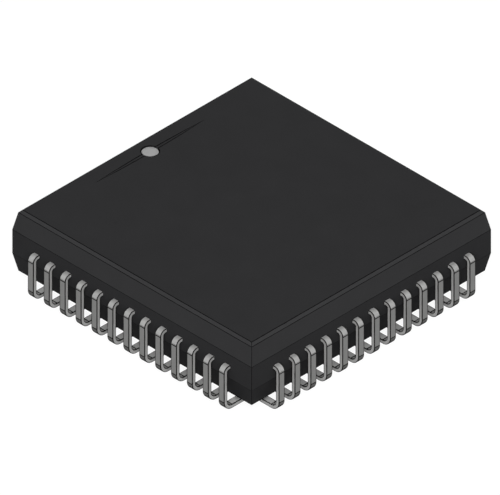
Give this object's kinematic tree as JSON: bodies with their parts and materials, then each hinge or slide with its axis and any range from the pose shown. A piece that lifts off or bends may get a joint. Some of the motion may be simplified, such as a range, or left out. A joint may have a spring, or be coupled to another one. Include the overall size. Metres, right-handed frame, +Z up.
{
  "type": "plcc chip",
  "caption": "Square surface-mount integrated circuit: black moulded block with J-shaped leads along all four sides and a round index mark at one edge.",
  "frame": {"origin": "centre of the seating plane, level with the undersides of the fifty-two feet", "axes": "+Z up out of the board; -X towards the side whose middle lead is pin 1; pins count up counter-clockwise seen from +Z"},
  "size_m": [0.02, 0.02, 0.0051],
  "materials": {
    "moulding_compound": "matte",
    "tinned_lead": "satin",
    "bare_copper_alloy": "satin",
    "die_adhesive": "satin",
    "silicon": "polished",
    "gold_wire": "polished",
    "index_ink": "matte"
  },
  "bodies": {
    "root": {"bond_wires": "gold_wire", "die": "silicon", "die_attach": "die_adhesive", "die_paddle": "bare_copper_alloy", "lead_01": "tinned_lead", "lead_02": "tinned_lead", "lead_03": "tinned_lead", "lead_04": "tinned_lead", "lead_05": "tinned_lead", "lead_06": "tinned_lead", "lead_07": "tinned_lead", "lead_08": "tinned_lead", "lead_09": "tinned_lead", "lead_10": "tinned_lead", "lead_11": "tinned_lead", "lead_12": "tinned_lead", "lead_13": "tinned_lead", "lead_14": "tinned_lead", "lead_15": "tinned_lead", "lead_16": "tinned_lead", "lead_17": "tinned_lead", "lead_18": "tinned_lead", "lead_19": "tinned_lead", "lead_20": "tinned_lead", "lead_21": "tinned_lead", "lead_22": "tinned_lead", "lead_23": "tinned_lead", "lead_24": "tinned_lead", "lead_25": "tinned_lead", "lead_26": "tinned_lead", "lead_27": "tinned_lead", "lead_28": "tinned_lead", "lead_29": "tinned_lead", "lead_30": "tinned_lead", "lead_31": "tinned_lead", "lead_32": "tinned_lead", "lead_33": "tinned_lead", "lead_34": "tinned_lead", "lead_35": "tinned_lead", "lead_36": "tinned_lead", "lead_37": "tinned_lead", "lead_38": "tinned_lead", "lead_39": "tinned_lead", "lead_40": "tinned_lead", "lead_41": "tinned_lead", "lead_42": "tinned_lead", "lead_43": "tinned_lead", "lead_44": "tinned_lead", "lead_45": "tinned_lead", "lead_46": "tinned_lead", "lead_47": "tinned_lead", "lead_48": "tinned_lead", "lead_49": "tinned_lead", "lead_50": "tinned_lead", "lead_51": "tinned_lead", "lead_52": "tinned_lead", "moulded_body": "moulding_compound", "pin_1_mark": "index_ink"}
  },
  "joints": []
}
